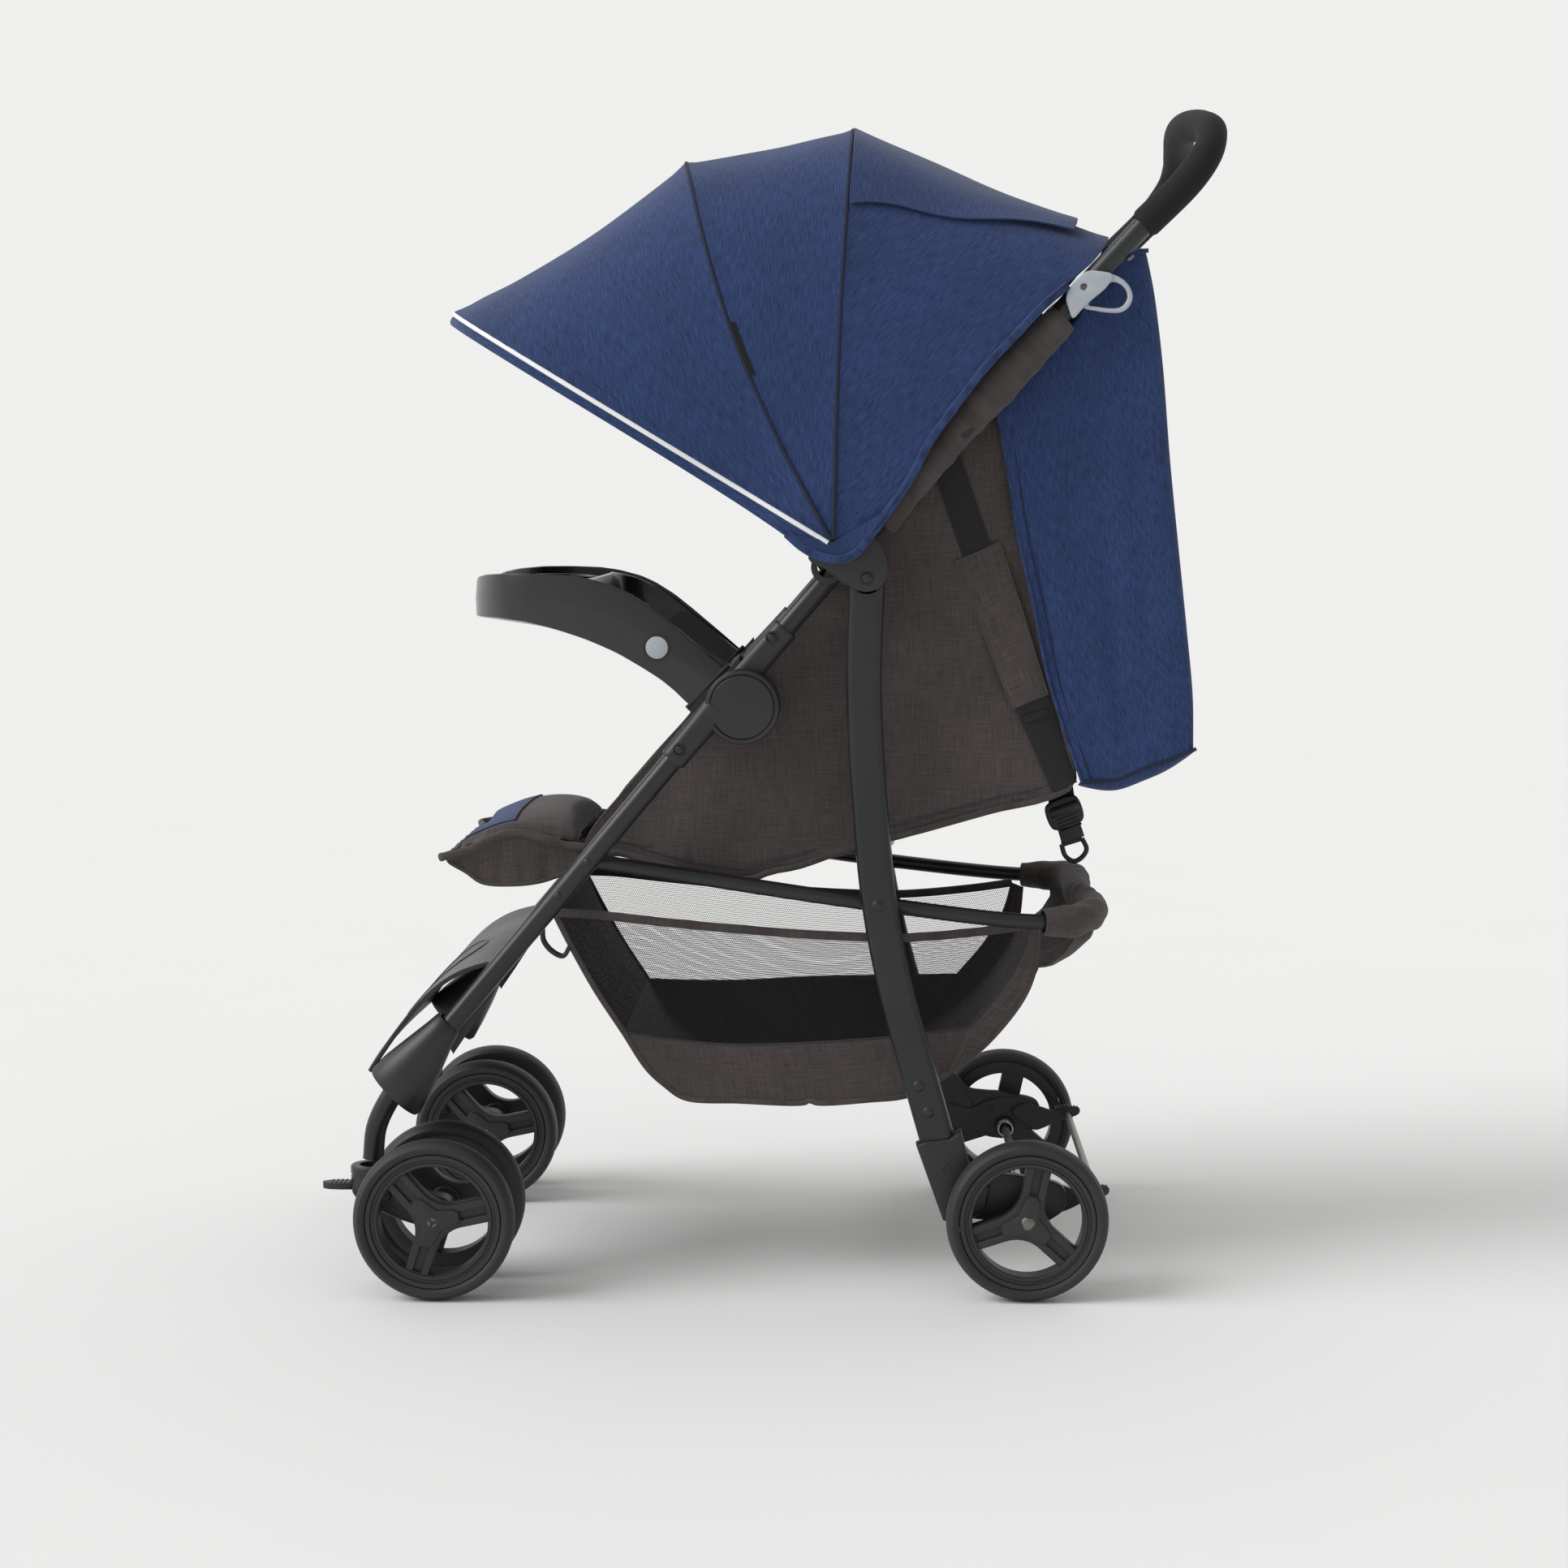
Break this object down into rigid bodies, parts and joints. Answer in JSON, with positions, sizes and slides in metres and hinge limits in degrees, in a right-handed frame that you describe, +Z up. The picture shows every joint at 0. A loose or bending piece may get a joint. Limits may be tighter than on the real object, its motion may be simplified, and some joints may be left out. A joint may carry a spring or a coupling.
{
  "type": "baby stroller",
  "caption": "Folding baby stroller with swivel twin front wheels, canopy, reclining padded seat, tray and mesh basket",
  "frame": {"origin": "centre of the footprint box, on the ground", "axes": "+Z up, the child faces -X, left side at -Y"},
  "size_m": [0.8152, 0.496, 1.0751],
  "materials": {
    "frame_tube": "satin",
    "plastic": "matte",
    "grey_plastic": "satin",
    "eva": "matte",
    "foam": "matte",
    "blue_fabric": "woven",
    "melange_fabric": "woven",
    "mesh_fabric": "net",
    "steel": "satin"
  },
  "bodies": {
    "front_frame": {"front_tube_left": "frame_tube", "front_tube_right": "frame_tube", "lower_hub_left": "plastic", "lower_hub_right": "plastic", "hub_cap_left": "plastic", "hub_cap_right": "plastic", "front_cross_tube": "frame_tube", "footrest": "plastic"},
    "handle": {"push_handle": "frame_tube", "handle_foam": "foam", "upper_hub_left": "plastic", "upper_hub_right": "plastic", "leg_bracket_left": "plastic", "leg_bracket_right": "plastic", "side_wing_left": "melange_fabric", "side_wing_right": "melange_fabric", "back_drape": "blue_fabric"},
    "rear_legs": {"rear_leg_left": "frame_tube", "rear_leg_right": "frame_tube", "rear_housing_left": "plastic", "rear_housing_right": "plastic", "rear_axle": "steel"},
    "basket_frame": {"basket_rail": "frame_tube", "seat_pad": "melange_fabric", "basket": "mesh_fabric", "harness_buckle": "plastic"},
    "brakes": {"brake_pedals": "plastic"},
    "seat_hinge": {"seat_hinge_rod": "frame_tube"},
    "backrest": {"backrest": "melange_fabric", "strap_adjuster": "plastic"},
    "d_ring": {"d_ring": "plastic"},
    "leg_rest": {"leg_rest": "melange_fabric", "leg_rest_skirt": "melange_fabric"},
    "canopy_back": {"canopy_bow_back": "plastic", "canopy_rear_panel": "blue_fabric"},
    "canopy_middle": {"canopy_bow_middle": "plastic", "canopy_mid_panel": "blue_fabric"},
    "canopy_front": {"canopy_bow_front": "plastic", "canopy_front_panel": "blue_fabric"},
    "tray": {"tray": "plastic"},
    "tray_button_left": {"tray_button_left": "grey_plastic"},
    "fold_pull_left": {"fold_pull_left": "grey_plastic"},
    "rear_left_wheel": {"rear_left_tyre": "eva", "rear_left_rim": "plastic"},
    "caster_left": {"caster_left": "plastic"},
    "swivel_lock_left": {"swivel_lock_left": "plastic"},
    "front_left_outer_wheel": {"front_left_outer_tyre": "eva", "front_left_outer_rim": "plastic"},
    "front_left_inner_wheel": {"front_left_inner_tyre": "eva", "front_left_inner_rim": "plastic"},
    "tray_button_right": {"tray_button_right": "grey_plastic"},
    "fold_pull_right": {"fold_pull_right": "grey_plastic"},
    "rear_right_wheel": {"rear_right_tyre": "eva", "rear_right_rim": "plastic"},
    "caster_right": {"caster_right": "plastic"},
    "swivel_lock_right": {"swivel_lock_right": "plastic"},
    "front_right_outer_wheel": {"front_right_outer_tyre": "eva", "front_right_outer_rim": "plastic"},
    "front_right_inner_wheel": {"front_right_inner_tyre": "eva", "front_right_inner_rim": "plastic"}
  },
  "joints": [
    {"name": "handle_fold", "type": "hinge", "parent": "front_frame", "child": "handle", "pos_m": [-0.02365, 0, 0.532], "axis": [0, 1, 0], "range_deg": [0, 120], "deforming": ["side_wing_left", "side_wing_right", "back_drape", "basket"]},
    {"name": "rear_leg_fold", "type": "hinge", "parent": "handle", "child": "rear_legs", "pos_m": [0.08735, 0, 0.647], "axis": [0, 1, 0], "range_deg": [-86.78, 0]},
    {"name": "basket_rail_fold", "type": "hinge", "parent": "front_frame", "child": "basket_frame", "pos_m": [-0.16435, 0, 0.3907], "axis": [0, 1, 0], "range_deg": [0, 75.86]},
    {"name": "brake_press", "type": "hinge", "parent": "rear_legs", "child": "brakes", "pos_m": [0.25435, 0, 0.083], "axis": [0, 1, 0], "range_deg": [0, 16]},
    {"name": "backrest_fold", "type": "hinge", "parent": "basket_frame", "child": "seat_hinge", "pos_m": [0.10835, 0, 0.406], "axis": [0, 1, 0], "range_deg": [-74.9, 0]},
    {"name": "backrest_recline", "type": "hinge", "parent": "seat_hinge", "child": "backrest", "pos_m": [0.10835, 0, 0.406], "axis": [0, 1, 0], "range_deg": [0, 40]},
    {"name": "d_ring_swing", "type": "hinge", "parent": "backrest", "child": "d_ring", "pos_m": [0.26535, 0, 0.399], "axis": [0, 1, 0], "range_deg": [-20, 20]},
    {"name": "leg_rest_tilt", "type": "hinge", "parent": "front_frame", "child": "leg_rest", "pos_m": [-0.15565, 0, 0.414], "axis": [0, -1, 0], "range_deg": [0, 35], "deforming": ["leg_rest_skirt"]},
    {"name": "canopy_fold", "type": "hinge", "parent": "handle", "child": "canopy_back", "pos_m": [0.05735, 0, 0.676], "axis": [0, 1, 0], "range_deg": [0, 24], "deforming": ["canopy_rear_panel", "canopy_mid_panel", "canopy_front_panel"]},
    {"name": "canopy_middle_fold", "type": "hinge", "parent": "canopy_back", "child": "canopy_middle", "pos_m": [0.05735, 0, 0.676], "axis": [0, 1, 0], "range_deg": [0, 15.4]},
    {"name": "canopy_front_fold", "type": "hinge", "parent": "canopy_middle", "child": "canopy_front", "pos_m": [0.05735, 0, 0.676], "axis": [0, 1, 0], "range_deg": [0, 24.5]},
    {"name": "tray_release", "type": "slide", "parent": "front_frame", "child": "tray", "axis": [-0.766, 0, 0.6428], "range_m": [0, 0.06]},
    {"name": "tray_button_left_press", "type": "slide", "parent": "tray", "child": "tray_button_left", "axis": [0, 1, 0], "range_m": [0, 0.003], "stiffness_N_per_m": 300},
    {"name": "fold_pull_left_squeeze", "type": "slide", "parent": "handle", "child": "fold_pull_left", "axis": [0.6639, 0, 0.7478], "range_m": [0, 0.015], "stiffness_N_per_m": 400},
    {"name": "rear_left_spin", "type": "hinge", "parent": "rear_legs", "child": "rear_left_wheel", "pos_m": [0.23235, -0.225, 0.073], "axis": [0, 1, 0], "continuous": true},
    {"name": "caster_left_swivel", "type": "hinge", "parent": "front_frame", "child": "caster_left", "pos_m": [-0.36065, -0.192, 0.073], "axis": [0, 0, 1], "continuous": true},
    {"name": "swivel_lock_left_flip", "type": "hinge", "parent": "caster_left", "child": "swivel_lock_left", "pos_m": [-0.37615, -0.192, 0.095], "axis": [0, 1, 0], "range_deg": [0, 10]},
    {"name": "front_left_outer_spin", "type": "hinge", "parent": "caster_left", "child": "front_left_outer_wheel", "pos_m": [-0.29965, -0.2335, 0.073], "axis": [0, 1, 0], "continuous": true},
    {"name": "front_left_inner_spin", "type": "hinge", "parent": "caster_left", "child": "front_left_inner_wheel", "pos_m": [-0.29965, -0.1505, 0.073], "axis": [0, 1, 0], "continuous": true},
    {"name": "tray_button_right_press", "type": "slide", "parent": "tray", "child": "tray_button_right", "axis": [0, -1, 0], "range_m": [0, 0.003], "stiffness_N_per_m": 300},
    {"name": "fold_pull_right_squeeze", "type": "slide", "parent": "handle", "child": "fold_pull_right", "axis": [0.6639, 0, 0.7478], "range_m": [0, 0.015], "stiffness_N_per_m": 400},
    {"name": "rear_right_spin", "type": "hinge", "parent": "rear_legs", "child": "rear_right_wheel", "pos_m": [0.23235, 0.225, 0.073], "axis": [0, 1, 0], "continuous": true},
    {"name": "caster_right_swivel", "type": "hinge", "parent": "front_frame", "child": "caster_right", "pos_m": [-0.36065, 0.192, 0.073], "axis": [0, 0, 1], "continuous": true},
    {"name": "swivel_lock_right_flip", "type": "hinge", "parent": "caster_right", "child": "swivel_lock_right", "pos_m": [-0.37615, 0.192, 0.095], "axis": [0, 1, 0], "range_deg": [0, 10]},
    {"name": "front_right_outer_spin", "type": "hinge", "parent": "caster_right", "child": "front_right_outer_wheel", "pos_m": [-0.29965, 0.2335, 0.073], "axis": [0, 1, 0], "continuous": true},
    {"name": "front_right_inner_spin", "type": "hinge", "parent": "caster_right", "child": "front_right_inner_wheel", "pos_m": [-0.29965, 0.1505, 0.073], "axis": [0, 1, 0], "continuous": true}
  ],
  "couplings": [
    {"joint": "rear_leg_fold", "follows": "handle_fold", "ratio": -0.719},
    {"joint": "basket_rail_fold", "follows": "handle_fold", "ratio": 0.628},
    {"joint": "backrest_fold", "follows": "handle_fold", "ratio": -0.62},
    {"joint": "canopy_middle_fold", "follows": "canopy_fold", "ratio": 0.62},
    {"joint": "canopy_front_fold", "follows": "canopy_fold", "ratio": 1}
  ]
}
